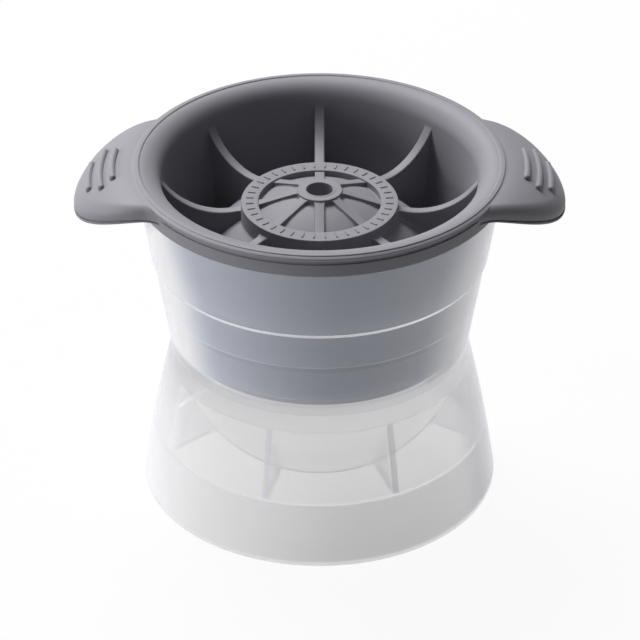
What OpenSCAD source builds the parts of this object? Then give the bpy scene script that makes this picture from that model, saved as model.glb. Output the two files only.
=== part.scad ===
// Ice ball mould in two mouldings: a soft cap with two pull tabs, plugged into a rigid base cup.
// The base stands on z = 0, the round axis is Z, and the pull tabs lie along X.
// Below the parting line the base shapes the lower half of the ball; above it the cap shapes the upper half.

/* [Ice ball] */
// Diameter of the ball that the two halves shape
ball_d = 63.5; // [58:0.5:68]

/* [Rim of the cap] */
// Outer diameter of the rim band
rim_d = 84.8; // [80:0.2:95]
// Height of the rim band, from its underside to the top of the bead
rim_h = 5.6; // [4.4:0.1:9]
// Height of the rim's underside above the top of the dome
rim_rise = 4.3; // [3:0.1:12]
// Width of the bead along the rim's outer edge
bead_w = 1.6; // [0.8:0.1:2]
// Height of the bead above the flare beside it
bead_h = 0.4; // [0.2:0.1:1.5]
// Radius of the flare that rolls from the rim down into the well
flare_r = 4.8; // [4:0.2:7]

/* [Plug and dome of the cap] */
// Wall of the dome over the ball
dome_wall = 3.2; // [2:0.1:4.5]
// Wall of the plug beside the floor of the well
plug_wall = 2.4; // [1.6:0.1:3.2]
// Width of the floor of the well between dome and plug
well_floor_w = 1.8; // [1:0.1:3]

/* [Ribs, ring and hub of the cap] */
// Number of ribs across the well, and of spokes inside the ring
rib_count = 8; // [4:1:12]
// Thickness of a rib
rib_w = 2.3; // [1.5:0.1:3.5]
// Depth of the dip in a rib's top edge, under the straight line between its ends
rib_dip = 3.9; // [1:0.1:5]
// Height of the ring's top above the ribs that meet it
ring_over_rib = 1.8; // [0.5:0.1:2.5]
// Outer diameter of the ring on the dome
ring_d = 36; // [30:0.5:42]
// Width of the ring's flat top
ring_w = 4; // [2:0.1:5]
// Height of the ring above the dome at its middle
ring_rise = 2.9; // [2:0.1:5]
// Diameter of the hub round the vent
hub_d = 10.4; // [9:0.1:14]
// Height of the hub above the top of the dome
hub_rise = 2; // [1.5:0.1:4]
// Height of the crown inside the ring above the top of the dome
crown_rise = 1.2; // [0.6:0.1:1.3]
// Diameter of the vent hole
vent_d = 6.1; // [5:0.1:7]
// Thickness of a spoke between hub and ring
spoke_w = 2.2; // [1.2:0.1:3]
// Depth of a spoke's ends under the tops of hub and ring
spoke_drop = 0.4; // [0.2:0.1:0.6]

/* [Pull tabs] */
// Reach of a tab past the rim band
tab_reach = 13.6; // [10:0.2:18]
// Diameter of the tab's rounded plan
tab_w = 43; // [36:0.5:50]
// Thickness of a tab
tab_t = 3.6; // [2.2:0.1:4.4]
// Radius of the bend that turns a tab down
tab_bend_r = 14; // [10:0.5:20]
// Slope of a tab's outer end, in degrees
tab_droop = 42; // [20:1:50]
// Radius of the hollow fillet between a tab's side and the rim
tab_fillet_r = 10; // [6:0.5:14]
// Width of a grip rib
grip_w = 1.5; // [0.8:0.1:1.8]
// Height of a grip rib above the tab
grip_h = 0.8; // [0.3:0.1:1]
// Distance of the innermost grip rib from the rim band
grip_start = 3.9; // [3:0.1:6]
// Pitch of the grip ribs
grip_pitch = 2.7; // [2:0.05:3.5]
// Length of each grip rib, from the innermost outwards
grip_len = [13.9, 17.9, 12.8]; // [5:0.1:22]

/* [Funnel of the base] */
// Width of the flat seat that the plug's lower edge rests on
seat_w = 1.7; // [1.2:0.1:3]
// Wall of the funnel
funnel_wall = 1.5; // [1.2:0.1:2.4]
// Distance that the rim band overhangs the top of the funnel
rim_overhang = 0.9; // [0.4:0.1:2]
// Height of the ledge above the seat
ledge_rise = 20.4; // [12:0.2:28]
// Width of the ledge
ledge_w = 0.5; // [0.2:0.1:1]

/* [Bowl, skirt and fins of the base] */
// Wall of the bowl round the ball
bowl_wall = 2.5; // [1.8:0.1:3]
// Height of the bowl's underside above the floor
foot_gap = 4.4; // [2:0.1:10]
// Outer diameter of the skirt at the foot
foot_d = 83.6; // [78:0.2:95]
// Wall of the skirt above its inner ledge
skirt_wall = 1.7; // [1.2:0.1:2.2]
// Wall of the skirt below its inner ledge
foot_wall = 1.2; // [0.9:0.1:1.6]
// Height of the ledge inside the skirt
foot_ledge_z = 14.5; // [6:0.5:18]
// Outward bulge of the skirt, half way up
skirt_bulge = 0.45; // [0:0.05:1]
// Height of the straight band at the waist
waist_h = 1.8; // [1:0.1:3]
// Depth of the waist's upper edge under the parting line
waist_drop = 2; // [1:0.1:4]
// Depth under the parting line at which the skirt leaves the bowl
skirt_root = 7.3; // [6:0.1:9]
// Number of fins between bowl and skirt
fin_count = 8; // [4:1:12]
// Thickness of a fin
fin_w = 1.4; // [1:0.1:2.5]
// Angle of the first fin from the X axis, in degrees
fin_turn = 26.5; // [0:0.5:45]
// Height of a fin's lower edge above the skirt's inner ledge
fin_foot = 1; // [0.5:0.1:4]
// Rise of a fin's lower edge from the skirt to the bowl
fin_lift = 2.7; // [0:0.1:5]

/* [Fit] */
// Clearance between plug and funnel, and over the ledge
plug_gap = 0.3; // [0.2:0.05:0.5]
// Clearance between the rim band and the top of the funnel
rim_gap = 0.3; // [0.1:0.05:0.5]

/* [Hidden] */
$fn = 96;
// Steps along a drawn arc
arc_steps = 10;
// Overshoot of a cut past the face that it opens
past = 1;

silicone_grey = [0.55, 0.55, 0.57];
frosted_white = [0.93, 0.94, 0.95, 0.6];

// Heights, from the floor up
ball_r = ball_d / 2;
parting_z = foot_gap + bowl_wall + ball_r;
dome_r = ball_r + dome_wall;
dome_top_z = parting_z + dome_r;
rim_z = dome_top_z + rim_rise;
rim_top_z = rim_z + rim_h;
flare_top_z = rim_top_z - bead_h;
ledge_z = parting_z + ledge_rise;

// Radii of the round parts
rim_r = rim_d / 2;
bead_in_r = rim_r - bead_w;
seat_r = ball_r + seat_w;
funnel_top_r = rim_r - rim_overhang - funnel_wall;
bowl_r = ball_r + bowl_wall;
foot_r = foot_d / 2;
waist_r = seat_r + funnel_wall;

// Slope of the funnel, as radius gained per millimetre of height
funnel_slope = (funnel_top_r - ledge_w - seat_r) / (rim_z - parting_z);

// Radius of the funnel's inside at a height, without and with the ledge
function funnel_below(z) = seat_r + funnel_slope * (z - parting_z);
function funnel_above(z) = funnel_below(z) + ledge_w;

// Points of an arc about a centre
function arc(centre, r, from, to) =
    [for (i = [0 : arc_steps]) centre + r * [cos(from + (to - from) * i / arc_steps),
                                             sin(from + (to - from) * i / arc_steps)]];

// Points of a bow from one point to another, with its middle to the right of the straight way
function bow(p, q, depth) =
    let (way = q - p, side = [way.y, -way.x] / norm(way))
    [for (i = [0 : arc_steps]) let (t = i / arc_steps) p + way * t + side * 4 * depth * t * (1 - t)];

// Floor of the well: where dome and plug are one floor width apart
floor_edge = seat_r - plug_gap - plug_wall - well_floor_w;
floor_term = 1 + funnel_slope * funnel_slope;
floor_rise = (sqrt(pow(floor_edge * funnel_slope, 2) + floor_term * (pow(dome_r, 2) - pow(floor_edge, 2)))
              - floor_edge * funnel_slope) / floor_term;
well_floor_z = parting_z + floor_rise;
well_floor_r = funnel_below(well_floor_z) - plug_gap - plug_wall;

// Ring, hub and spokes on the dome; the crown between them is a sphere that leaves the dome under the ring
ring_r = ring_d / 2;
ring_in_r = ring_r - ring_w;
ring_mid_r = ring_r - ring_w / 2;
ring_top_z = parting_z + sqrt(pow(dome_r, 2) - pow(ring_mid_r, 2)) + ring_rise;
hub_r = hub_d / 2;
hub_top_z = dome_top_z + hub_rise;
crown_top_z = dome_top_z + crown_rise;
crown_h = crown_top_z - parting_z - sqrt(pow(dome_r, 2) - pow(ring_mid_r, 2));
crown_r = (pow(ring_mid_r, 2) + pow(crown_h, 2)) / (2 * crown_h);

// The flare is an arc about this centre, and a rib's top edge meets its lower end
flare_centre = [bead_in_r, flare_top_z - flare_r];
rib_outer_end = flare_centre - [flare_r, 0];
rib_inner_end = [ring_mid_r, ring_top_z - ring_over_rib];

// Pull tab: its plan is a circle that reaches past the rim, its section bends down from the rim
tab_r = tab_w / 2;
tab_tip = rim_r + tab_reach;
tab_centre = tab_tip - tab_r;
tab_top_z = flare_top_z - bead_h / 2;
tab_root_r = bead_in_r;
fillet_to_rim = rim_r + tab_fillet_r;
fillet_to_tab = tab_r + tab_fillet_r;
fillet_x = (pow(fillet_to_rim, 2) - pow(fillet_to_tab, 2) + pow(tab_centre, 2)) / (2 * tab_centre);
fillet_y = sqrt(pow(fillet_to_rim, 2) - pow(fillet_x, 2));
fillet_centre = [fillet_x, fillet_y];
fillet_on_rim = fillet_centre * rim_r / fillet_to_rim;
fillet_on_tab = [tab_centre, 0] + (fillet_centre - [tab_centre, 0]) * tab_r / fillet_to_tab;

// Skirt: a bulged line from the foot to the waist
waist_top_z = parting_z - waist_drop;
waist_low_z = waist_top_z - waist_h;
skirt_top_z = parting_z - skirt_root;
function skirt_r(z) =
    let (t = z / waist_low_z)
    foot_r + (waist_r - foot_r) * t + 4 * skirt_bulge * t * (1 - t);
function skirt_line(from, to, wall) =
    [for (i = [0 : arc_steps]) let (z = from + (to - from) * i / arc_steps) [skirt_r(z) - wall, z]];

// Outer shape of plug and rim, as half a section
module plug_section() {
    polygon(concat(
        [[0, parting_z],
         [funnel_below(parting_z) - plug_gap, parting_z],
         [funnel_below(ledge_z + plug_gap) - plug_gap, ledge_z + plug_gap],
         [funnel_above(ledge_z + plug_gap) - plug_gap, ledge_z + plug_gap],
         [funnel_above(rim_z) - plug_gap, rim_z],
         [rim_r, rim_z]],
        bow([rim_r, flare_top_z], [bead_in_r, flare_top_z], bead_h),
        [[0, flare_top_z]]));
}

// Space inside the rim and round the dome, as half a section
module well_section() {
    polygon(concat(
        [[0, well_floor_z], [well_floor_r, well_floor_z]],
        arc(flare_centre, flare_r, 180, 90),
        [[bead_in_r, rim_top_z + past], [0, rim_top_z + past]]));
}

// Dome with its crown, ring and hub that stand in the well
module dome_top() {
    translate([0, 0, parting_z])
        sphere(r = dome_r);
    translate([0, 0, crown_top_z - crown_r])
        sphere(r = crown_r);
    translate([0, 0, parting_z])
        difference() {
            cylinder(r = ring_r, h = ring_top_z - parting_z);
            cylinder(r = ring_in_r, h = ring_top_z - parting_z + past);
        }
    translate([0, 0, parting_z])
        cylinder(r = hub_r, h = hub_top_z - parting_z);
}

// Upright plate along the X axis, from a section drawn in radius and height
module radial_plate(w) {
    rotate([90, 0, 0])
        linear_extrude(height = w, center = true)
            children();
}

// One rib from the ring out to the flare, with a dipped top edge
module well_rib() {
    radial_plate(rib_w)
        polygon(concat(
            bow(rib_outer_end, rib_inner_end, -rib_dip),
            [[ring_mid_r, parting_z], [rim_r, parting_z], [rim_r, rib_outer_end.y]]));
}

// One spoke from the hub out to the ring
module hub_spoke() {
    radial_plate(spoke_w)
        polygon([[hub_r / 2, hub_top_z - spoke_drop],
                 [hub_r, hub_top_z - spoke_drop],
                 [ring_in_r, ring_top_z - spoke_drop],
                 [ring_mid_r, ring_top_z - spoke_drop],
                 [ring_mid_r, parting_z],
                 [hub_r / 2, parting_z]]);
}

// Section of a tab with its faces moved outwards by a rise
module tab_section(rise) {
    bend_z = tab_top_z - tab_bend_r;
    bend = [rim_r, bend_z];
    upper = tab_bend_r + rise;
    lower = tab_bend_r - tab_t;
    along = [cos(tab_droop), -sin(tab_droop)] * (tab_reach + past) / cos(tab_droop);
    upper_arc = arc(bend, upper, 90, 90 - tab_droop);
    lower_arc = arc(bend, lower, 90 - tab_droop, 90);
    polygon(concat(
        [[tab_root_r, bend_z + upper]],
        upper_arc,
        [upper_arc[arc_steps] + along, lower_arc[0] + along],
        lower_arc,
        [[tab_root_r, bend_z + lower]]));
}

// Plan of a tab, with a hollow fillet on either side where it leaves the rim
module tab_plan() {
    intersection() {
        translate([tab_centre, 0])
            circle(r = tab_r);
        translate([0, -tab_r])
            square([tab_tip + past, tab_w]);
    }
    for (side = [0, 1])
        mirror([0, side])
            difference() {
                polygon([[0, 0], fillet_on_rim, fillet_centre, fillet_on_tab, [tab_centre, 0]]);
                translate(fillet_centre)
                    circle(r = tab_fillet_r);
            }
}

// One tab along +X, with its grip ribs
module pull_tab() {
    intersection() {
        rotate_extrude()
            tab_section(0);
        linear_extrude(height = rim_top_z)
            tab_plan();
    }
    for (i = [0 : len(grip_len) - 1]) {
        grip_r = rim_r + grip_start + grip_w / 2 + i * grip_pitch;
        grip_angle = grip_len[i] / grip_r * 180 / PI;
        rotate([0, 0, -grip_angle / 2])
            rotate_extrude(angle = grip_angle)
                intersection() {
                    tab_section(grip_h);
                    translate([grip_r - grip_w / 2, 0])
                        square([grip_w, rim_top_z]);
                }
    }
}

// Soft cap: plug, dome over the ball, well with ribs, rim and two tabs
module silicone_cap() {
    color(silicone_grey)
        difference() {
            union() {
                rotate_extrude()
                    plug_section();
                for (turn = [0, 180])
                    rotate([0, 0, turn])
                        pull_tab();
            }
            difference() {
                rotate_extrude()
                    well_section();
                dome_top();
                for (i = [0 : rib_count - 1])
                    rotate([0, 0, i * 360 / rib_count]) {
                        well_rib();
                        hub_spoke();
                    }
            }
            translate([0, 0, parting_z])
                sphere(r = ball_r);
            translate([0, 0, parting_z])
                cylinder(d = vent_d, h = hub_top_z - parting_z + past);
        }
}

// Outer shape of skirt, waist and funnel, as half a section
module base_section() {
    top_z = rim_z - rim_gap;
    polygon(concat(
        [[0, 0]],
        skirt_line(0, waist_low_z, 0),
        [[funnel_below(waist_top_z) + funnel_wall, waist_top_z],
         [funnel_below(ledge_z) + funnel_wall, ledge_z - funnel_wall],
         [funnel_above(ledge_z) + funnel_wall, ledge_z - funnel_wall + ledge_w],
         [funnel_above(top_z) + funnel_wall, top_z],
         [0, top_z]]));
}

// Space inside the funnel, down to the seat, as half a section
module funnel_section() {
    open_z = rim_z + past;
    polygon([[0, parting_z],
             [funnel_below(parting_z), parting_z],
             [funnel_below(ledge_z), ledge_z],
             [funnel_above(ledge_z), ledge_z],
             [funnel_above(open_z), open_z],
             [0, open_z]]);
}

// Space inside the skirt, as half a section
module skirt_section() {
    polygon(concat(
        [[0, -past], [skirt_r(0) - foot_wall, -past]],
        skirt_line(0, foot_ledge_z, foot_wall),
        skirt_line(foot_ledge_z, skirt_top_z, skirt_wall),
        [[0, skirt_top_z]]));
}

// One fin between bowl and skirt
module skirt_fin() {
    low_z = foot_ledge_z + fin_foot;
    radial_plate(fin_w)
        polygon([[ball_r / 2, low_z + fin_lift],
                 [bowl_r - skirt_root, low_z + fin_lift],
                 [skirt_r(low_z) - skirt_wall, low_z],
                 [foot_r, low_z],
                 [foot_r, parting_z],
                 [ball_r / 2, parting_z]]);
}

// Rigid cup: funnel for the plug, bowl for the lower half of the ball, skirt to stand on, fins
module base_cup() {
    color(frosted_white)
        difference() {
            rotate_extrude()
                base_section();
            rotate_extrude()
                funnel_section();
            translate([0, 0, parting_z])
                sphere(r = ball_r);
            difference() {
                rotate_extrude()
                    skirt_section();
                translate([0, 0, parting_z])
                    sphere(r = bowl_r);
                for (i = [0 : fin_count - 1])
                    rotate([0, 0, fin_turn + i * 360 / fin_count])
                        skirt_fin();
            }
        }
}

silicone_cap();
base_cup();
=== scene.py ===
import bpy
import bmesh
import math
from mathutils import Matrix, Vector


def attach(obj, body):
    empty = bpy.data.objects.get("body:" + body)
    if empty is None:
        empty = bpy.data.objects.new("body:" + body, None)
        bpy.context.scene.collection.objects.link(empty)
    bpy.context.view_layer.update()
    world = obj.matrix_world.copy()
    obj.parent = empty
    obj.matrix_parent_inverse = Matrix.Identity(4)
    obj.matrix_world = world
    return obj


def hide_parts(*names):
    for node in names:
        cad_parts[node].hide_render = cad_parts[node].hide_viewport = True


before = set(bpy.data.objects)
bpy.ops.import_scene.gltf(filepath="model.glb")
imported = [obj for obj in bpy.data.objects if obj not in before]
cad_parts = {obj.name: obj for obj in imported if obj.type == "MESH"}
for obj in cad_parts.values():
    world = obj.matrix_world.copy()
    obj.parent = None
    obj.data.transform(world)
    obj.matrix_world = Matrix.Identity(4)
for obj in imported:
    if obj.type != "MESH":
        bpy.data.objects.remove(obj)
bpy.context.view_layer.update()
mm = 0.001  # sizes below are in millimetres, meshes in metres
print("frame loaded:", sorted(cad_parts))


def linearColour(hexColour):  # sRGB hex to linear RGBA
    shares = [int(hexColour[i:i + 2], 16) / 255 for i in (1, 3, 5)]
    return [s / 12.92 if s <= 0.04045 else ((s + 0.055) / 1.055) ** 2.4 for s in shares] + [1.0]


def addNode(tree, kind, inputs=None, **settings):  # an input is a value, a socket or a node
    made = tree.nodes.new(kind)
    for name, value in settings.items():
        setattr(made, name, value)
    for key, value in (inputs or {}).items():
        if isinstance(value, bpy.types.Node):
            value = value.outputs[0]  # a node stands for its first output
        if isinstance(value, bpy.types.NodeSocket):
            tree.links.new(value, made.inputs[key])
        else:
            made.inputs[key].default_value = value
    return made


def addObject(name, data):
    made = bpy.data.objects.new(name, data)
    bpy.context.scene.collection.objects.link(made)
    return made


# camera at the photograph's angle
cameraView = {"elevation": 32.23, "distance": 747.2, "lens": 179.98, "sensor": 36.0,
              "aimZ": 40.44, "shiftX": 0.0005, "near": 10.0}


def makeCamera(view):
    tilt = math.radians(view["elevation"])
    data = bpy.data.cameras.new("camera")
    data.sensor_width = view["sensor"]
    data.lens = view["lens"]
    data.shift_x = view["shiftX"]
    data.clip_start = view["near"] * mm
    camera = addObject("camera", data)
    back = Vector((0, -math.cos(tilt), math.sin(tilt)))
    camera.location = (back * view["distance"] + Vector((0, 0, view["aimZ"]))) * mm
    camera.rotation_euler = (math.pi / 2 - tilt, 0, 0)
    bpy.context.scene.camera = camera


makeCamera(cameraView)
print("camera placed")


# materials; 6, 7 and output 2 are the colour sockets of a Mix node

def newMaterial(name):
    material = bpy.data.materials.new(name)
    material.use_nodes = True
    tree = material.node_tree
    tree.nodes.clear()
    return material, tree


siliconeLook = {
    "grey": "#84838a", "shade": "#7e7d84", "dust": "#b9b9bc",
    "roughness": (0.52, 0.66), "ior": 1.41, "sheen": 0.06, "sheenRoughness": 0.5,
    "cloudSize": 14.0, "cloudDetail": 3.0,
    # the blasted grain is finer than a pixel, so it is drawn coarser to show
    "grainSize": 0.35, "grainDetail": 2.0, "grainDepth": 0.018, "grainStrength": 0.35,
    "speckPitch": 2.6, "speckSize": 0.16, "speckShare": 0.28,
}


def mouldedSilicone(look):
    # silicone rubber from a blasted steel mould: matt, a fine skin, a little lint that clings to it
    material, tree = newMaterial("mouldedSilicone")
    place = addNode(tree, "ShaderNodeTexCoord").outputs["Object"]
    cloud = addNode(tree, "ShaderNodeTexNoise", {
        "Vector": place, "Scale": 1 / (look["cloudSize"] * mm), "Detail": look["cloudDetail"]})
    tone = addNode(tree, "ShaderNodeMix", {
        0: cloud, 6: linearColour(look["shade"]), 7: linearColour(look["grey"])},
        data_type="RGBA").outputs[2]
    lint = addNode(tree, "ShaderNodeTexVoronoi", {
        "Vector": place, "Scale": 1 / (look["speckPitch"] * mm)}).outputs
    speckEnd = look["speckSize"] / look["speckPitch"]
    near = addNode(tree, "ShaderNodeMapRange", {
        "Value": lint["Distance"], "From Min": speckEnd / 2, "From Max": speckEnd,
        "To Min": 1.0, "To Max": 0.0})
    draw = addNode(tree, "ShaderNodeSeparateColor", {"Color": lint["Color"]}).outputs["Red"]
    some = addNode(tree, "ShaderNodeMath", {0: draw, 1: 1 - look["speckShare"]},
                   operation="GREATER_THAN")
    speck = addNode(tree, "ShaderNodeMath", {0: near, 1: some}, operation="MULTIPLY")
    colour = addNode(tree, "ShaderNodeMix", {0: speck, 6: tone, 7: linearColour(look["dust"])},
                     data_type="RGBA").outputs[2]
    low, high = look["roughness"]
    rough = addNode(tree, "ShaderNodeMapRange", {"Value": cloud, "To Min": low, "To Max": high})
    grain = addNode(tree, "ShaderNodeTexNoise", {
        "Vector": place, "Scale": 1 / (look["grainSize"] * mm), "Detail": look["grainDetail"]})
    bump = addNode(tree, "ShaderNodeBump", {
        "Height": grain, "Strength": look["grainStrength"], "Distance": look["grainDepth"] * mm})
    shader = addNode(tree, "ShaderNodeBsdfPrincipled", {
        "Base Color": colour, "Roughness": rough, "IOR": look["ior"], "Normal": bump,
        "Sheen Weight": look["sheen"], "Sheen Roughness": look["sheenRoughness"]})
    addNode(tree, "ShaderNodeOutputMaterial", {"Surface": shader})
    return material


polypropyleneLook = {
    "milk": "#f2f2f3", "milkOnDark": "#dfe7fa", "glow": "#fcfbfb", "clear": "#fefefe",
    "coat": "#f6f6fb", "tint": "#cdcccd", "tintDensity": 8.0,
    "waveSize": 16.0, "waveDetail": 1.5, "waveDepth": 0.12, "waveStrength": 0.3,
    "gloss": 0.24, "faceShine": 0.08, "edgeShine": 0.95, "edgePower": 3.0, "stepShine": 0.8,
    "skinGrazing": (0.44, 0.68), "skinMost": 0.95, "innerGrazing": (0.8, 1.0), "innerMost": 0.55,
    "innerHaze": 0.03, "innerThrough": 0.3, "finHaze": 0.14,
    "stripDim": 0.4, "stripHaze": 0.12, "stripBlue": 0.6, "stripSoft": 0.2, "top": 80.0,
    # height, how milky the outside is, how much of that is light from behind,
    # 1 where fins end behind it, 1 over the dark plug
    "byHeight": (
        (0.0, 0.72, 0.68, 0.0, 0.0), (0.9, 0.72, 0.68, 0.0, 0.0), (1.2, 0.7, 0.29, 0.0, 0.0),
        (14.9, 0.66, 0.32, 0.0, 0.0), (15.2, 0.7, 0.65, 0.0, 0.0), (15.6, 0.7, 0.65, 0.0, 0.0),
        (15.8, 0.52, 0.38, 1.0, 0.0), (24.0, 0.5, 0.48, 1.0, 0.0), (32.4, 0.48, 0.75, 1.0, 0.0),
        (32.7, 0.76, 0.9, 0.0, 0.0), (39.0, 0.76, 1.0, 0.0, 0.0), (41.6, 0.41, 0.12, 0.0, 1.0),
        # the thinner haze at 50.1 to 50.8, just under the faint line, lets the dark plug show more:
        # a painted shadow line under it
        (49.2, 0.41, 0.12, 0.0, 1.0), (50.1, 0.33, 0.12, 0.0, 1.0), (50.8, 0.35, 0.12, 0.0, 1.0),
        (51.1, 0.46, 0.12, 0.0, 1.0), (56.0, 0.43, 0.12, 0.0, 1.0), (80.0, 0.42, 0.12, 0.0, 1.0)),
}


def frostedPolypropylene(look, fins):
    # natural polypropylene, blasted outside and bright inside: milky, the plug shows through it,
    # white where a wall is seen edge on
    material, tree = newMaterial("frostedPolypropylene")
    place = addNode(tree, "ShaderNodeTexCoord").outputs["Object"]
    axes = addNode(tree, "ShaderNodeSeparateXYZ", {0: place}).outputs
    wave = addNode(tree, "ShaderNodeTexNoise", {
        "Vector": place, "Scale": 1 / (look["waveSize"] * mm), "Detail": look["waveDetail"]})
    bump = addNode(tree, "ShaderNodeBump", {
        "Height": wave, "Strength": look["waveStrength"], "Distance": look["waveDepth"] * mm})
    own = {}
    for name in ("inner", "edged", "wallEnd", "dim"):  # set on the faces by markSurface
        own[name] = addNode(tree, "ShaderNodeAttribute", attribute_name=name).outputs["Fac"]

    # the outside, by height: red haze, green light from behind, blue fins, alpha the dark plug
    height = addNode(tree, "ShaderNodeMath", {0: axes["Z"], 1: 1 / (look["top"] * mm)},
                     operation="MULTIPLY")
    ramp = addNode(tree, "ShaderNodeValToRGB", {"Fac": height})
    stops = ramp.color_ramp.elements
    for i, (z, *values) in enumerate(look["byHeight"]):
        isLast = z == look["top"]
        stop = stops[0] if i == 0 else stops[-1] if isLast else stops.new(z / look["top"])
        stop.color = values
    skin = addNode(tree, "ShaderNodeSeparateColor", {"Color": ramp}).outputs

    # a strip on the skirt in front of each fin
    angle = addNode(tree, "ShaderNodeMath", {0: axes["Y"], 1: axes["X"]}, operation="ARCTAN2")
    turned = addNode(tree, "ShaderNodeMath", {0: angle, 1: math.radians(fins["firstAngle"])},
                     operation="SUBTRACT")
    halfPitch = math.pi / fins["count"]
    near = addNode(tree, "ShaderNodeMath", {0: turned, 1: halfPitch, 2: -halfPitch},
                   operation="WRAP")
    level = addNode(tree, "ShaderNodeCombineXYZ", {"X": axes["X"], "Y": axes["Y"]})
    radius = addNode(tree, "ShaderNodeVectorMath", {0: level}, operation="LENGTH").outputs["Value"]
    aside = addNode(tree, "ShaderNodeMath", {0: near, 1: radius}, operation="MULTIPLY")
    apart = addNode(tree, "ShaderNodeMath", {0: aside}, operation="ABSOLUTE")
    stripEnd = fins["width"] / 2 * mm
    strip = addNode(tree, "ShaderNodeMapRange", {
        "Value": apart, "From Min": stripEnd, "From Max": stripEnd + look["stripSoft"] * mm,
        "To Min": look["stripDim"], "To Max": 0.0})

    # haze grows where a wall is seen at a low angle
    facing = addNode(tree, "ShaderNodeLayerWeight", {"Blend": 0.5}).outputs["Facing"]
    grazing = {}
    for name in ("skin", "inner"):
        low, high = look[name + "Grazing"]
        grazing[name] = addNode(tree, "ShaderNodeMapRange", {
            "Value": facing, "From Min": low, "From Max": high}, interpolation_type="SMOOTHSTEP")
    square = addNode(tree, "ShaderNodeMath", {0: 1.0, 1: grazing["skin"]}, operation="SUBTRACT")
    ended = addNode(tree, "ShaderNodeMath", {0: strip, 1: skin["Blue"]}, operation="MULTIPLY")
    shown = addNode(tree, "ShaderNodeMath", {0: ended, 1: square}, operation="MULTIPLY")
    walled = addNode(tree, "ShaderNodeMix", {
        0: grazing["skin"], 2: skin["Red"], 3: look["skinMost"]})
    outer = addNode(tree, "ShaderNodeMath", {
        0: shown, 1: look["stripHaze"] / look["stripDim"], 2: walled}, operation="MULTIPLY_ADD")
    seen = addNode(tree, "ShaderNodeMath", {0: grazing["inner"], 1: own["edged"]},
                   operation="MULTIPLY")
    plain = addNode(tree, "ShaderNodeMix", {0: seen, 2: look["innerHaze"], 3: look["innerMost"]})
    finned = addNode(tree, "ShaderNodeMath", {0: own["dim"], 1: look["finHaze"], 2: plain},
                     operation="MULTIPLY_ADD")
    share = addNode(tree, "ShaderNodeMix", {0: own["inner"], 2: outer, 3: finned})
    milky = addNode(tree, "ShaderNodeMath", {0: share, 1: own["wallEnd"]}, operation="MAXIMUM")

    # the haze is lit in part from the front, in part from behind
    skinThrough = addNode(tree, "ShaderNodeMath", {0: skin["Green"], 1: shown},
                          operation="SUBTRACT")
    lit = addNode(tree, "ShaderNodeMix", {
        0: own["inner"], 2: skinThrough, 3: look["innerThrough"]})
    passing = addNode(tree, "ShaderNodeMath", {0: lit, 1: own["wallEnd"]}, operation="MAXIMUM")
    onDark = addNode(tree, "ShaderNodeMath", {0: ramp.outputs["Alpha"], 1: square},
                     operation="MULTIPLY")
    bluish = addNode(tree, "ShaderNodeMath", {
        0: shown, 1: look["stripBlue"] / look["stripDim"], 2: onDark}, operation="MULTIPLY_ADD")
    milk = addNode(tree, "ShaderNodeMix", {
        0: bluish, 6: linearColour(look["milk"]), 7: linearColour(look["milkOnDark"])},
        data_type="RGBA").outputs[2]
    front = addNode(tree, "ShaderNodeBsdfDiffuse", {"Color": milk, "Normal": bump})
    behind = addNode(tree, "ShaderNodeBsdfTranslucent", {
        "Color": linearColour(look["glow"]), "Normal": bump})
    haze = addNode(tree, "ShaderNodeMixShader", {0: passing, 1: front, 2: behind})
    clear = addNode(tree, "ShaderNodeBsdfTransparent", {"Color": linearColour(look["clear"])})
    body = addNode(tree, "ShaderNodeMixShader", {0: milky, 1: clear, 2: haze})

    # soft shine on the outside, most of it at edges and steps
    edge = addNode(tree, "ShaderNodeMath", {0: facing, 1: look["edgePower"]}, operation="POWER")
    shine = addNode(tree, "ShaderNodeMapRange", {
        "Value": edge, "To Min": look["faceShine"], "To Max": look["edgeShine"]})
    step = addNode(tree, "ShaderNodeMath", {0: own["wallEnd"], 1: look["stepShine"]},
                   operation="MULTIPLY")
    more = addNode(tree, "ShaderNodeMath", {0: shine, 1: step}, operation="MAXIMUM")
    back = addNode(tree, "ShaderNodeNewGeometry").outputs["Backfacing"]
    unseen = addNode(tree, "ShaderNodeMath", {0: back, 1: own["inner"]}, operation="MAXIMUM")
    outside = addNode(tree, "ShaderNodeMath", {0: 1.0, 1: unseen}, operation="SUBTRACT")
    coat = addNode(tree, "ShaderNodeMath", {0: more, 1: outside}, operation="MULTIPLY")
    gloss = addNode(tree, "ShaderNodeBsdfGlossy", {
        "Color": linearColour(look["coat"]), "Roughness": look["gloss"], "Normal": bump})
    whole = addNode(tree, "ShaderNodeMixShader", {0: coat, 1: body, 2: gloss})
    depth = addNode(tree, "ShaderNodeVolumeAbsorption", {
        "Color": linearColour(look["tint"]), "Density": look["tintDensity"]})
    addNode(tree, "ShaderNodeOutputMaterial", {"Surface": whole, "Volume": depth})
    return material


# mesh helpers

def makePiece(name, points, faces, material):  # points in millimetres
    mesh = bpy.data.meshes.new(name)
    mesh.from_pydata([Vector(p) * mm for p in points], [], faces)
    work = bmesh.new()
    work.from_mesh(mesh)
    bmesh.ops.recalc_face_normals(work, faces=work.faces)
    work.to_mesh(mesh)
    work.free()
    mesh.materials.append(material)
    return addObject(name, mesh)


def plainMesh(piece):  # turns the modifiers' result into the piece's own mesh
    bpy.context.view_layer.update()
    depsgraph = bpy.context.evaluated_depsgraph_get()
    mesh = bpy.data.meshes.new_from_object(piece.evaluated_get(depsgraph))
    piece.modifiers.clear()
    piece.data = mesh


def fuse(piece, others):  # one moulding: the others are united with the piece and removed
    for other in others:
        union = piece.modifiers.new("fuse", "BOOLEAN")
        union.operation = "UNION"
        union.solver = "EXACT"
        union.object = other
    plainMesh(piece)
    for other in others:
        bpy.data.objects.remove(other)


def smoothFaces(piece, sharpAngle):
    piece.data.shade_smooth()
    piece.data.set_sharp_from_angle(angle=math.radians(sharpAngle))


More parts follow.
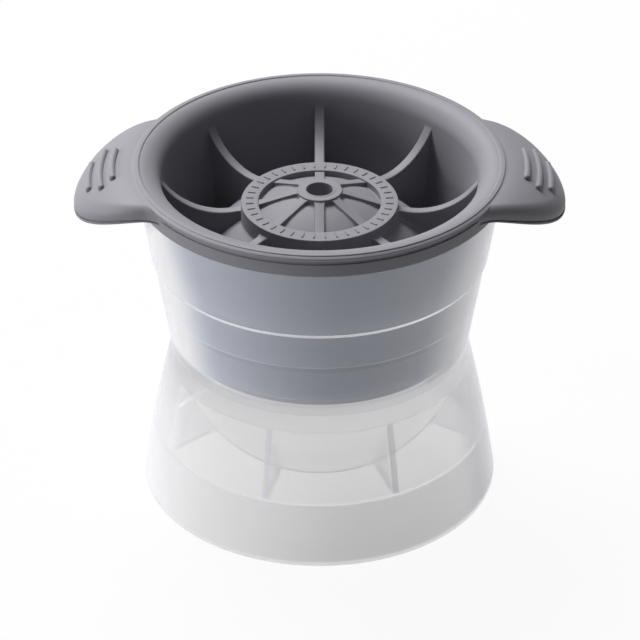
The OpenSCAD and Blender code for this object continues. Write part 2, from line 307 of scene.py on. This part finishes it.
def roundCorners(line, steps=5, most=0.48):  # points are (r, z) or (r, z, corner radius)
    made = []
    for i, (r, z, *corner) in enumerate(line):
        here = Vector((r, z))
        if not corner or i in (0, len(line) - 1):
            made.append(here)
            continue
        back = Vector(line[i - 1][:2]) - here
        on = Vector(line[i + 1][:2]) - here
        turn = back.angle(on) / 2
        reach = min(corner[0] / math.tan(turn), most * back.length, most * on.length)
        start = here + back.normalized() * reach
        end = here + on.normalized() * reach
        for k in range(steps + 1):
            t = k / steps
            made.append(start * (1 - t) ** 2 + here * 2 * t * (1 - t) + end * t ** 2)
    return made


def spread(low, high, steps):
    return [low + (high - low) * k / steps for k in range(steps + 1)]


def arcLine(centre, radius, fromAngle, toAngle, steps):
    angles = [math.radians(a) for a in spread(fromAngle, toAngle, steps)]
    return [(centre[0] + radius * math.cos(a), centre[1] + radius * math.sin(a)) for a in angles]


def spinSection(section, turns, closed=False):  # turned about Z; a point on the axis is a pole
    points, rows = [], []
    for r, z in section:
        if r < 1e-6:
            rows.append([len(points)] * turns)
            points.append((0, 0, z))
            continue
        rows.append(list(range(len(points), len(points) + turns)))
        angles = [k * math.tau / turns for k in range(turns)]
        points += [(r * math.cos(a), r * math.sin(a), z) for a in angles]
    faces = []
    for low, high in zip(rows, rows[1:] + (rows[:1] if closed else [])):
        for k in range(turns):
            n = (k + 1) % turns
            corners = list(dict.fromkeys((low[k], low[n], high[n], high[k])))
            if len(corners) > 2:
                faces.append(corners)
    return points, faces


def loftLoops(loops):  # closed loops of equal length, joined in turn, with flat ends
    count = len(loops[0])
    points = [p for loop in loops for p in loop]
    faces = []
    for first in range(0, len(points) - count, count):
        for k in range(count):
            n = (k + 1) % count
            faces.append((first + k, first + n, first + count + n, first + count + k))
    faces.append(tuple(range(count)))
    faces.append(tuple(range(len(points) - count, len(points))))
    return points, faces


# geometry trees

def newTree(name, inputs):
    tree = bpy.data.node_groups.new(name, "GeometryNodeTree")
    for label, kind in inputs.items():
        tree.interface.new_socket(name=label, in_out="INPUT", socket_type="NodeSocket" + kind)
    tree.interface.new_socket(name="Geometry", in_out="OUTPUT", socket_type="NodeSocketGeometry")
    return tree, addNode(tree, "NodeGroupInput").outputs


def repeatRound(tree, shape, count, firstAngle, material):  # copies at equal angles about Z
    spots = addNode(tree, "GeometryNodePoints", {"Count": count})
    index = addNode(tree, "GeometryNodeInputIndex")
    step = addNode(tree, "ShaderNodeMath", {0: math.tau, 1: count}, operation="DIVIDE")
    angle = addNode(tree, "ShaderNodeMath", {0: index, 1: step, 2: firstAngle},
                    operation="MULTIPLY_ADD")
    about = addNode(tree, "ShaderNodeCombineXYZ", {"Z": angle})
    turn = addNode(tree, "FunctionNodeEulerToRotation", {"Euler": about})
    copies = addNode(tree, "GeometryNodeInstanceOnPoints", {
        "Points": spots, "Instance": shape, "Rotation": turn})
    real = addNode(tree, "GeometryNodeRealizeInstances", {"Geometry": copies})
    shaded = addNode(tree, "GeometryNodeSetMaterial", {"Geometry": real, "Material": material})
    addNode(tree, "NodeGroupOutput", {0: shaded})


def roundPatternTree():  # the piece itself, repeated
    tree, given = newTree("roundPattern", {
        "Geometry": "Geometry", "Count": "Int", "First Angle": "Float", "Material": "Material"})
    repeatRound(tree, given["Geometry"], given["Count"], given["First Angle"], given["Material"])
    return tree


def gripRibTree():  # a raised rib along an arc about Z, with round ends, once on each tab
    tree, given = newTree("gripRib", {
        "Geometry": "Geometry", "Arc Radius": "Float", "Height": "Float", "Sweep": "Float",
        "Rib Radius": "Float", "Arc Steps": "Int", "Outline Steps": "Int", "Count": "Int",
        "Material": "Material"})
    start = addNode(tree, "ShaderNodeMath", {0: given["Sweep"], 1: -0.5}, operation="MULTIPLY")
    arc = addNode(tree, "GeometryNodeCurveArc", {
        "Resolution": given["Arc Steps"], "Radius": given["Arc Radius"],
        "Start Angle": start, "Sweep Angle": given["Sweep"]})
    lift = addNode(tree, "ShaderNodeCombineXYZ", {"Z": given["Height"]})
    placed = addNode(tree, "GeometryNodeSetPosition", {"Geometry": arc, "Offset": lift})
    along = addNode(tree, "GeometryNodeSplineParameter").outputs["Length"]
    total = addNode(tree, "ShaderNodeMath", {0: given["Sweep"], 1: given["Arc Radius"]},
                    operation="MULTIPLY")
    left = addNode(tree, "ShaderNodeMath", {0: total, 1: along}, operation="SUBTRACT")
    near = addNode(tree, "ShaderNodeMath", {0: along, 1: left}, operation="MINIMUM")
    share = addNode(tree, "ShaderNodeMath", {0: near, 1: given["Rib Radius"]},
                    operation="DIVIDE", use_clamp=True)
    rest = addNode(tree, "ShaderNodeMath", {0: 1.0, 1: share}, operation="SUBTRACT")
    square = addNode(tree, "ShaderNodeMath", {0: rest, 1: 2.0}, operation="POWER")
    under = addNode(tree, "ShaderNodeMath", {0: 1.001, 1: square}, operation="SUBTRACT")
    taper = addNode(tree, "ShaderNodeMath", {0: under}, operation="SQRT")  # never quite a point
    outline = addNode(tree, "GeometryNodeCurvePrimitiveCircle", {
        "Resolution": given["Outline Steps"], "Radius": given["Rib Radius"]})
    swept = addNode(tree, "GeometryNodeCurveToMesh", {
        "Curve": placed, "Profile Curve": outline, "Fill Caps": True, "Scale": taper})
    repeatRound(tree, swept, given["Count"], 0.0, given["Material"])
    return tree


def runTree(piece, tree, inputs):  # sets the named inputs, then keeps the result as a plain mesh
    modifier = piece.modifiers.new("nodes", "NODES")
    modifier.node_group = tree
    for item in tree.interface.items_tree:
        if item.item_type == "SOCKET" and item.in_out == "INPUT" and item.name in inputs:
            modifier[item.identifier] = inputs[item.name]
    plainMesh(piece)
    return piece


roundPattern = roundPatternTree()
gripRib = gripRibTree()
silicone = mouldedSilicone(siliconeLook)
print("trees and silicone made")


# soft cap

capSizes = {
    "partingZ": 38.65, "ballR": 31.75, "domeWall": 3.2, "turns": 240, "sharpAngle": 38,
    "plugLowR": 33.15, "plugLedgeR": 36.34, "plugTopR": 39.7, "ledgeZ": 59.35, "ledgeW": 0.5,
    "wellFloorZ": 54.1, "wellFloorR": 33.1, "flareTopR": 40.8, "flareTopZ": 83.1, "flareR": 4.8,
    # from the rim's crest down: groove, lip, notch under the lip, band
    "crestInR": 41.05, "crestOutR": 42.0, "crestZ": 83.35, "crestFall": 0.05,
    "grooveR": 42.15, "grooveW": 0.2, "grooveRise": 0.3, "grooveFall": 0.04,
    "lipR": 42.85, "lipZ": 82.72, "lipH": 1.65, "lipFaceH": 0.3, "lipLean": 0.05,
    "notchR": 41.95, "notchDrop": 1.1, "rimR": 42.3, "rimZ": 77.9, "bandSlope": 0.15,
    "hubR": 5.2, "hubTopZ": 75.6, "ringInR": 14.0, "ringR": 18.0, "ringTopZ": 72.62,
    "sideLean": 0.05, "crownRise": 1.2,
    "ventR": 3.05, "ventLipW": 0.4, "ventLipRise": 0.1, "ventLipSlope": 0.15,
}


def domeZ(r):  # the shell over the ball, with a higher crown inside the ring
    s = capSizes
    domeR = s["ballR"] + s["domeWall"]
    ringMidR = (s["ringInR"] + s["ringR"]) / 2
    if r >= ringMidR:
        return s["partingZ"] + math.sqrt(domeR ** 2 - r * r)
    crownTopZ = s["partingZ"] + domeR + s["crownRise"]
    crownH = crownTopZ - s["partingZ"] - math.sqrt(domeR ** 2 - ringMidR ** 2)
    crownR = (ringMidR ** 2 + crownH ** 2) / (2 * crownH)
    return crownTopZ - crownR + math.sqrt(crownR ** 2 - r * r)


def domeLine(fromR, toR, steps):
    return [(r, domeZ(r)) for r in spread(fromR, toR, steps)[1:-1]]


def capSection(s):
    domeR = s["ballR"] + s["domeWall"]
    floorR = math.sqrt(domeR ** 2 - (s["wellFloorZ"] - s["partingZ"]) ** 2)
    flareCentre = (s["flareTopR"], s["flareTopZ"] - s["flareR"])
    ventLowZ = s["partingZ"] + math.sqrt(s["ballR"] ** 2 - s["ventR"] ** 2)
    ventMidZ = (ventLowZ + s["hubTopZ"]) / 2
    ventTopZ = s["hubTopZ"] + s["ventLipRise"]
    ventLipR = s["ventR"] + s["ventLipW"]
    ventAngle = math.degrees(math.acos(s["ventR"] / s["ballR"]))
    lean = s["sideLean"]
    line = [(s["ventR"], ventMidZ), (s["ventR"], ventTopZ, 0.12), (ventLipR, ventTopZ, 0.12),
            (ventLipR + s["ventLipSlope"], s["hubTopZ"], 0.1),
            (s["hubR"] - lean, s["hubTopZ"], 0.25),
            (s["hubR"] + lean, domeZ(s["hubR"] + lean), 0.35)]
    line += domeLine(s["hubR"], s["ringInR"], 9)
    line += [(s["ringInR"] - lean, domeZ(s["ringInR"] - lean), 0.4),
             (s["ringInR"] + lean, s["ringTopZ"], 0.18),
             (s["ringR"] - lean, s["ringTopZ"], 0.2),
             (s["ringR"] + lean, domeZ(s["ringR"] + lean), 0.6)]
    line += domeLine(s["ringR"], floorR, 16)
    line += [(floorR, s["wellFloorZ"], 0.8), (s["wellFloorR"], s["wellFloorZ"], 0.7)]
    line += arcLine(flareCentre, s["flareR"], 180, 92, 18)
    line += [(s["flareTopR"], s["flareTopZ"], 0.15), (s["crestInR"], s["crestZ"], 0.2),
             (s["crestOutR"], s["crestZ"] - s["crestFall"], 0.2)]
    grooveZ, lipLowZ = s["lipZ"] + s["grooveRise"], s["lipZ"] - s["lipH"]
    line += [(s["grooveR"], grooveZ, 0.1),
             (s["grooveR"] + s["grooveW"], grooveZ - s["grooveFall"], 0.1),
             (s["lipR"], s["lipZ"], 0.2),
             (s["lipR"] - s["lipLean"], s["lipZ"] - s["lipFaceH"], 0.1),
             (s["notchR"], s["lipZ"] - s["notchDrop"], 0.1), (s["notchR"], lipLowZ, 0.1),
             (s["rimR"], lipLowZ - s["bandSlope"], 0.15), (s["rimR"], s["rimZ"], 0.4)]
    line += [(s["plugTopR"], s["rimZ"], 0.5), (s["plugLedgeR"] + s["ledgeW"], s["ledgeZ"], 0.15),
             (s["plugLedgeR"], s["ledgeZ"], 0.15), (s["plugLowR"], s["partingZ"], 0.3),
             (s["ballR"], s["partingZ"], 0.15)]
    line += arcLine((0, s["partingZ"]), s["ballR"], 2, ventAngle - 1, 30)
    line += [(s["ventR"], ventLowZ, 0.2), (s["ventR"], ventMidZ)]
    return roundCorners(line)[:-1]  # it ends where it starts


# upright plates that stand on the dome: ribs across the well, spokes inside the ring

ribSizes = {
    "count": 8, "width": 2.3, "innerR": 15.5, "outerR": 36.0, "endR": 37.2, "lowR": 22.5,
    "lowZ": 70.15, "arcR": 15.6, "edge": 0.35, "foot": 0.9, "footSpread": 0.5, "sink": 1.0,
    "draft": 0.012, "wallSink": 1.0,
}
spokeSizes = {
    "count": 8, "width": 2.2, "innerR": 4.4, "innerZ": 75.45, "outerR": 14.0, "outerZ": 72.25,
    "endR": 15.2, "edge": 0.2, "foot": 0.35, "footSpread": 0.2, "sink": 1.0, "draft": 0.02,
}
plateSteps = {
    "fineL": 4.5, "coarse": 16, "fine": 22, "under": 0.2, "inFoot": (0.12, 0.25, 0.45, 0.7),
    "aboveFoot": 4, "edge": 5,
}


def wellWallR(z):  # radius of the well's outer wall at a height
    s = capSizes
    flareLowZ = s["flareTopZ"] - s["flareR"]
    if z < flareLowZ:
        share = (z - s["wellFloorZ"]) / (flareLowZ - s["wellFloorZ"])
        return s["wellFloorR"] + share * (s["flareTopR"] - s["flareR"] - s["wellFloorR"])
    rise = min(z - flareLowZ, s["flareR"])
    return s["flareTopR"] - math.sqrt(s["flareR"] ** 2 - rise ** 2)


def footSpread(distance, p):  # a plate widens towards the face that it stands on
    share = max(0.0, 1 - max(distance, 0.0) / p["foot"])
    return p["footSpread"] * share ** 2


def plateTopZ(r, p):  # a hollow arc for a rib, a straight line for a spoke
    if "arcR" in p:
        across = min(r, p["outerR"]) - p["lowR"]
        return p["lowZ"] + p["arcR"] - math.sqrt(p["arcR"] ** 2 - across ** 2)
    share = (r - p["innerR"]) / (p["outerR"] - p["innerR"])
    return p["innerZ"] + (p["outerZ"] - p["innerZ"]) * share


def endInWall(r, z, p):  # a rib's end is drawn in, so that it stays inside the plug's wall
    wall = wellWallR(z)
    if r <= wall or p["endR"] - wall < p["wallSink"]:
        return r
    return wall + (r - wall) * p["wallSink"] / (p["endR"] - wall)


def plateLoop(r, p, towardsWall):
    s, steps = capSizes, plateSteps
    overDome = r < s["ballR"] + s["domeWall"]
    bodyZ = max(domeZ(r), s["wellFloorZ"]) if overDome else s["wellFloorZ"]
    topZ = plateTopZ(r, p)
    heights = [bodyZ - p["sink"], bodyZ - steps["under"], bodyZ]
    heights += [bodyZ + share * p["foot"] for share in steps["inFoot"]]
    heights += spread(bodyZ + p["foot"], topZ - p["edge"], steps["aboveFoot"])
    side = []
    for z in heights:
        half = p["width"] / 2 + p["draft"] * (topZ - z) + footSpread(z - bodyZ, p)
        if towardsWall:
            half += footSpread(r - s["ringR"], p)
        else:
            half += footSpread(s["ringInR"] - r, p) + footSpread(r - s["hubR"], p)
        side.append((half, z))
    half = side[-1][0]
    for k in range(1, steps["edge"] + 1):  # rounded top edge
        a = math.radians(90 * k / steps["edge"])
        side.append((half - p["edge"] * (1 - math.cos(a)), topZ - p["edge"] * (1 - math.sin(a))))
    side = [(h, z, endInWall(r, z, p) if towardsWall else r) for h, z in side]
    return [(x, -h, z) for h, z, x in side] + [(x, h, z) for h, z, x in reversed(side)]


def makePlates(name, p, towardsWall):
    fineR = p["endR"] - plateSteps["fineL"]
    stations = spread(p["innerR"], fineR, plateSteps["coarse"])
    stations += spread(fineR, p["endR"], plateSteps["fine"])[1:]
    points, faces = loftLoops([plateLoop(r, p, towardsWall) for r in stations])
    plate = makePiece(name, points, faces, silicone)
    return runTree(plate, roundPattern, {"Count": p["count"], "Material": silicone})


# pull tabs

tabSizes = {
    "count": 2, "tipR": 56.0, "planR": 21.5, "rimR": 42.05, "filletR": 10.0, "rootR": 40.2,
    "rootW": 0.3, "rootZ": 82.95, "drop": 7.6, "thickness": 3.0, "roll": 2.0, "lip": 0.35,
    "chamfer": 0.1, "groove": 0.3, "strip": 0.8, "stripLeast": 0.05, "stripPower": 1.2,
    "stripOut": 0.3, "stripLevels": (0.2, 0.35, 0.9), "lines": 96, "endAngle": 88, "stations": 26,
    "rollSteps": 10, "lowSteps": 14,
}
gripSizes = {
    "count": 2, "radii": (47.0, 49.78, 52.42), "lengths": (13.9, 17.9, 12.8), "width": 1.5,
    "rise": 0.2, "arcSteps": 72, "outlineSteps": 16,
}


def tabTopZ(r):
    share = max(0.0, r - tabSizes["rimR"]) / (tabSizes["tipR"] - tabSizes["rimR"])
    return tabSizes["rootZ"] - tabSizes["drop"] * share ** 2


def tabPlan(t):  # tip radius by angle, and the angle at which a tab's side has run into the rim
    centre = t["tipR"] - t["planR"]
    toRim, toTab = t["rimR"] + t["filletR"], t["planR"] + t["filletR"]
    filletX = (toRim ** 2 - toTab ** 2 + centre ** 2) / (2 * centre)
    filletY = math.sqrt(toRim ** 2 - filletX ** 2)
    rimAngle = math.atan2(filletY, filletX)
    joinX = centre + (filletX - centre) * t["planR"] / toTab
    joinAngle = math.atan2(filletY * t["planR"] / toTab, joinX)

    def reach(angle):
        a = abs(angle)
        if a < joinAngle:
            return centre * math.cos(a) + math.sqrt(t["planR"] ** 2 - (centre * math.sin(a)) ** 2)
        d = max(rimAngle - a, 0.0)
        return toRim * math.cos(d) - math.sqrt(t["filletR"] ** 2 - (toRim * math.sin(d)) ** 2)
    return reach, rimAngle


def tabLoop(angle, reach, rimAngle, t):
    nudge = 1e-4  # for the outline's slope
    tip = reach(angle)
    slope = (reach(angle + nudge) - reach(angle - nudge)) / (2 * nudge) / tip
    square = math.sqrt(1 + slope * slope)  # length along the radius for 1 off the outline
    rollStart = max(tip - t["roll"] * square, t["rootR"] + t["rootW"])
    top = [(r, tabTopZ(r)) for r in spread(t["rootR"], rollStart, t["stations"])]
    for k in range(1, t["rollSteps"] + 1):  # the edge rolls down
        a = math.radians(90 * k / t["rollSteps"])
        r = rollStart + (tip - rollStart) * math.sin(a)
        top.append((r, tabTopZ(r) - t["roll"] * (1 - math.cos(a))))
    lowZ = tabTopZ(tip) - t["thickness"]
    swell = math.sin(math.pi * min(abs(angle) / rimAngle, 1.0))  # none at the tip and at the rim
    strip = t["stripLeast"] + t["strip"] * swell ** t["stripPower"]
    stripR = tip + t["stripOut"] * strip
    grooveLowZ, stripTopZ, stripLowZ = [lowZ - share * strip for share in t["stripLevels"]]
    rim = [(tip, lowZ + t["lip"]), (tip - t["chamfer"], lowZ + t["chamfer"]),
           (tip - t["groove"], lowZ), (tip - t["groove"], grooveLowZ),
           (stripR, stripTopZ), (stripR, stripLowZ), (tip - t["lip"], lowZ - strip)]
    low = [(r, tabTopZ(r) - t["thickness"] - strip)
           for r in spread(tip - 2 * t["lip"], t["rootR"], t["lowSteps"])]
    return [(r * math.cos(angle), r * math.sin(angle), z) for r, z in top + rim + low]


def makeTabs(t):
    reach, rimAngle = tabPlan(t)
    turns = spread(-t["endAngle"], t["endAngle"], t["lines"])
    angles = [rimAngle * math.sin(math.radians(a)) for a in turns]  # closer together at the sides
    points, faces = loftLoops([tabLoop(a, reach, rimAngle, t) for a in angles])
    tab = makePiece("pullTabs", points, faces, silicone)
    return runTree(tab, roundPattern, {"Count": t["count"], "Material": silicone})


def makeGrips(g):
    corners = [(0, 0, 0), (1, 0, 0), (0, 1, 0)]  # of a face that the tree replaces by the rib
    made = []
    for i, (r, length) in enumerate(zip(g["radii"], g["lengths"])):
        holder = makePiece("gripRib%d" % i, corners, [(0, 1, 2)], silicone)
        made.append(runTree(holder, gripRib, {
            "Arc Radius": r * mm, "Height": (tabTopZ(r) + g["rise"]) * mm, "Sweep": length / r,
            "Rib Radius": g["width"] / 2 * mm, "Arc Steps": g["arcSteps"],
            "Outline Steps": g["outlineSteps"], "Count": g["count"], "Material": silicone}))
    return made


# plain tick marks on the ring's flat top, like a dial's

tickSizes = {"count": 40, "midR": 16.0, "length": 1.7, "width": 0.42, "rise": 0.22, "sink": 0.3,
             "bevel": 0.1}


def makeTicks(t):
    faceZ = capSizes["ringTopZ"]
    topZ = faceZ + t["rise"]
    loops = []
    for z, inset in ((faceZ - t["sink"], 0.0), (topZ - t["bevel"], 0.0), (topZ, t["bevel"])):
        x, y = t["length"] / 2 - inset, t["width"] / 2 - inset
        inR, outR = t["midR"] - x, t["midR"] + x
        loops.append([(inR, -y, z), (outR, -y, z), (outR, y, z), (inR, y, z)])
    points, faces = loftLoops(loops)
    tick = makePiece("ringTicks", points, faces, silicone)
    return runTree(tick, roundPattern, {
        "Count": t["count"], "First Angle": math.pi / t["count"], "Material": silicone})


def makeCap():
    points, faces = spinSection(capSection(capSizes), capSizes["turns"], closed=True)
    cap = makePiece("siliconeCap", points, faces, silicone)
    ribs = makePlates("wellRibs", ribSizes, True)
    spokes = makePlates("hubSpokes", spokeSizes, False)
    fuse(cap, [ribs, spokes, makeTabs(tabSizes), makeTicks(tickSizes)] + makeGrips(gripSizes))
    smoothFaces(cap, capSizes["sharpAngle"])
    return cap


# rigid base cup

baseSizes = {
    "partingZ": 38.65, "ballR": 31.75, "bowlR": 34.25, "turns": 240, "sharpAngle": 38,
    "seatR": 33.45, "seatBandH": 3.0, "funnelSlope": 0.154, "ledgeZ": 59.05, "ledgeW": 0.5,
    "wall": 1.5, "topZ": 77.6, "waistTopZ": 36.65, "waistLowZ": 34.85, "waistR": 34.95,
    "footR": 41.8, "footH": 1.0, "footWall": 1.2, "footLedgeZ": 14.5, "footLedgeH": 0.15,
    "skirtWall": 1.7, "bulge": 0.45, "roofZ": 31.35,
    # these keep rows of points off the rounded corners, the last one in degrees
    "underLedge": 0.5, "overLedge": 1.0, "underRoof": 1.5, "bowlGap": 2.5,
    # lines on the outside: a faint one, the bright step, the shine in front of the foot's ledge
    "lineZ": 51.0, "lineH": 0.2, "lineRise": 0.12, "stepZ": 60.25, "stepH": 1.1,
    "glintZ": 15.45, "glintH": 0.55, "glint": 0.45,
}
finSizes = {"count": 8, "width": 1.4, "firstAngle": 26.5, "lowZ": 15.5, "lift": 2.7,
            "bowlEndR": 26.95, "sink": 0.6, "footH": 2.0}
polypropylene = frostedPolypropylene(polypropyleneLook, finSizes)
print("polypropylene made")


def skirtR(z):
    b = baseSizes
    share = z / b["waistLowZ"]
    return b["footR"] + (b["waistR"] - b["footR"]) * share + 4 * b["bulge"] * share * (1 - share)


def funnelR(z):
    return baseSizes["seatR"] + baseSizes["funnelSlope"] * (z - baseSizes["partingZ"])


def baseSection(b):
    line = arcLine((0, b["partingZ"]), b["ballR"], -90, -1, 40)
    ledgeR = funnelR(b["ledgeZ"])
    line += [(b["ballR"], b["partingZ"], 0.2), (b["seatR"], b["partingZ"], 0.25),
             (ledgeR, b["ledgeZ"], 0.12), (ledgeR + b["ledgeW"], b["ledgeZ"], 0.12),
             (funnelR(b["topZ"]) + b["ledgeW"], b["topZ"], 0.35)]
    out = b["wall"] + b["ledgeW"]
    stepTopZ, stepLowZ = b["stepZ"] + b["stepH"] / 2, b["stepZ"] - b["stepH"] / 2
    lineR = funnelR(b["lineZ"]) + b["wall"]
    line += [(funnelR(b["topZ"]) + out, b["topZ"], 0.35), (funnelR(stepTopZ) + out, stepTopZ, 0.1),
             (funnelR(stepLowZ) + b["wall"], stepLowZ, 0.1),
             (lineR + b["lineRise"], b["lineZ"] + b["lineH"] / 2, 0.05),
             (lineR, b["lineZ"] - b["lineH"] / 2, 0.05)]
    line += [(funnelR(z) + b["wall"], z) for z in (b["partingZ"] + b["seatBandH"], b["partingZ"])]
    line += [(funnelR(b["waistTopZ"]) + b["wall"], b["waistTopZ"], 0.8)]
    skirtZ = spread(b["waistLowZ"], b["footH"], 30)
    skirtZ += [b["glintZ"] - b["glintH"] / 2, b["glintZ"] + b["glintH"] / 2]
    line += [(skirtR(z), z) for z in sorted(skirtZ, reverse=True)]
    line += [(skirtR(0), 0.0, 0.3), (skirtR(0) - b["footWall"], 0.0, 0.3)]
    ledgeZ, ledgeR = b["footLedgeZ"], skirtR(b["footLedgeZ"])
    footZ = spread(b["footH"], ledgeZ - b["underLedge"], 10)
    line += [(skirtR(z) - b["footWall"], z) for z in footZ]
    line += [(ledgeR - b["footWall"], ledgeZ, 0.1),
             (ledgeR - b["skirtWall"], ledgeZ + b["footLedgeH"], 0.1)]
    wallZ = spread(ledgeZ + b["overLedge"], b["roofZ"] - b["underRoof"], 14)
    line += [(skirtR(z) - b["skirtWall"], z) for z in wallZ]
    roofAngle = math.degrees(math.asin((b["roofZ"] - b["partingZ"]) / b["bowlR"]))
    bowlRoofR = b["bowlR"] * math.cos(math.radians(roofAngle))
    line += [(skirtR(b["roofZ"]) - b["skirtWall"], b["roofZ"], 0.5), (bowlRoofR, b["roofZ"], 0.3)]
    line += arcLine((0, b["partingZ"]), b["bowlR"], roofAngle - b["bowlGap"], -90, 36)
    return roundCorners(line)


def makeFins(f, b):
    lowOut, lowIn, topZ = f["lowZ"], f["lowZ"] + f["lift"], b["roofZ"] + f["sink"]
    midWallR = (b["ballR"] + b["bowlR"]) / 2  # a fin ends halfway into the bowl's wall
    outline = [(math.sqrt(midWallR ** 2 - (b["partingZ"] - z) ** 2), z)
               for z in spread(topZ, lowIn, 12)]
    outline += [(f["bowlEndR"], lowIn)]
    outline += [(skirtR(z) - b["skirtWall"] + f["sink"], z)
                for z in [lowOut] + spread(lowOut + f["footH"], topZ, 8)]
    sides = (-f["width"] / 2, f["width"] / 2)
    points, faces = loftLoops([[(r, y, z) for r, z in outline] for y in sides])
    fin = makePiece("skirtFins", points, faces, polypropylene)
    return runTree(fin, roundPattern, {
        "Count": f["count"], "First Angle": math.radians(f["firstAngle"]),
        "Material": polypropylene})


def outsideR(z):  # radius of the base's outside at a height
    b = baseSizes
    if z < b["waistLowZ"]:
        return skirtR(z)
    return funnelR(z) + b["wall"] + (b["ledgeW"] if z > b["ledgeZ"] else 0)


markLimits = {"skin": 0.6, "near": 0.2, "level": 0.7, "sloped": 0.25, "finEdge": 0.9,
              "upright": 0.3, "roof": 0.5}


def markSurface(base, b, f, m):  # what the material reads on each face
    marks = {"inner": [], "edged": [], "wallEnd": [], "dim": []}
    for face in base.data.polygons:
        z, normal = face.center.z / mm, face.normal
        r = math.hypot(face.center.x, face.center.y) / mm
        out = Vector((face.center.x, face.center.y, 0)).normalized()
        inner = r < outsideR(z) - m["skin"]
        fromBall = math.hypot(r, z - b["partingZ"]) - b["ballR"]
        cavity = z > b["partingZ"] or fromBall < m["skin"]
        ledge = abs(normal.z) > m["level"] and abs(z - b["ledgeZ"]) < m["near"]
        step = normal.z < -m["sloped"] and abs(z - b["stepZ"]) < b["stepH"] / 2
        finLow = f["lowZ"] - m["near"] < z < f["lowZ"] + f["lift"] + m["near"]
        finEdge = normal.z < -m["finEdge"] and finLow
        foot = normal.z < -m["level"] and z < m["near"]
        across = abs(normal.dot(out)) < m["upright"] and abs(normal.z) < m["upright"]
        finSide = across and f["lowZ"] < z < b["roofZ"]
        roof = normal.z < -m["roof"] and abs(z - b["roofZ"]) < m["skin"]
        glint = not inner and abs(z - b["glintZ"]) < b["glintH"] / 2
        marks["inner"].append(float(inner))
        marks["edged"].append(float(inner and not cavity))  # its outline shows
        marks["wallEnd"].append(1.0 if ledge or step or finEdge or foot else b["glint"] * glint)
        marks["dim"].append(float(finSide or roof))
    for name, values in marks.items():
        base.data.attributes.new(name, "FLOAT", "FACE").data.foreach_set("value", values)


def makeBase():
    points, faces = spinSection(baseSection(baseSizes), baseSizes["turns"])
    base = makePiece("baseCup", points, faces, polypropylene)
    fuse(base, [makeFins(finSizes, baseSizes)])
    markSurface(base, baseSizes, finSizes, markLimits)
    smoothFaces(base, baseSizes["sharpAngle"])
    return base


cap = makeCap()
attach(cap, "cap")
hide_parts("silicone_cap")
print("cap:", len(cap.data.polygons), "faces")

base = makeBase()
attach(base, "base")
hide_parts("base_cup")
print("base:", len(base.data.polygons), "faces")


# floor, backdrop and light, in metres

stageLook = {"floor": "#dadada", "white": "#ffffff", "show": 0.94, "size": 6.0}
lamps = {
    "key": {"at": (-0.36, 0.62, 1.05), "size": 0.8, "power": 21.5},
    "left": {"at": (-0.96, -0.14, 0.2), "size": 0.3, "power": 5.2},
    "top": {"at": (0.0, -0.25, 1.0), "size": 0.6, "power": 0.2},
}
lampAim = (0.0, 0.0, 0.05)
worldLook = {"white": "#ffffff", "ambient": 0.015}


def seenRay(tree):  # 1 where the camera sees the stage, straight on, in a gloss or through the base
    path = addNode(tree, "ShaderNodeLightPath").outputs
    some = addNode(tree, "ShaderNodeMath", {0: path["Is Camera Ray"], 1: path["Is Glossy Ray"]},
                   operation="MAXIMUM")
    return addNode(tree, "ShaderNodeMath", {0: some, 1: path["Is Transmission Ray"]},
                   operation="MAXIMUM")


def makeStage(look):
    material, tree = newMaterial("paleFloor")
    share = addNode(tree, "ShaderNodeMath", {0: seenRay(tree), 1: look["show"]},
                    operation="MULTIPLY")
    matt = addNode(tree, "ShaderNodeBsdfDiffuse", {"Color": linearColour(look["floor"])})
    white = addNode(tree, "ShaderNodeEmission", {
        "Color": linearColour(look["white"]), "Strength": 1.0})
    both = addNode(tree, "ShaderNodeMixShader", {0: share, 1: matt, 2: white})
    addNode(tree, "ShaderNodeOutputMaterial", {"Surface": both})
    half = look["size"] / 2
    corners = [(-half, -half, 0), (half, -half, 0), (half, half, 0), (-half, half, 0)]
    mesh = bpy.data.meshes.new("floor")
    mesh.from_pydata(corners, [], [(0, 1, 2, 3)])
    mesh.materials.append(material)
    floor = addObject("floor", mesh)


def makeLight(lampSet, sky):
    for name, lamp in lampSet.items():
        data = bpy.data.lights.new(name, "AREA")
        data.shape = "DISK"
        data.size = lamp["size"]
        data.energy = lamp["power"]
        light = addObject(name, data)
        light.location = lamp["at"]
        aim = Vector(lampAim) - Vector(lamp["at"])
        light.rotation_euler = aim.to_track_quat("-Z", "Y").to_euler()
    world = bpy.data.worlds.new("studio")
    world.use_nodes = True
    tree = world.node_tree
    tree.nodes.clear()
    strength = addNode(tree, "ShaderNodeMapRange", {
        "Value": seenRay(tree), "To Min": sky["ambient"], "To Max": 1.0})
    glow = addNode(tree, "ShaderNodeBackground", {
        "Color": linearColour(sky["white"]), "Strength": strength})
    addNode(tree, "ShaderNodeOutputWorld", {"Surface": glow})
    bpy.context.scene.world = world


makeStage(stageLook)
makeLight(lamps, worldLook)
bpy.context.scene.view_settings.view_transform = "Standard"
bpy.context.scene.cycles.transparent_max_bounces = 32  # many clear walls stand behind one another
print("stage and light made")
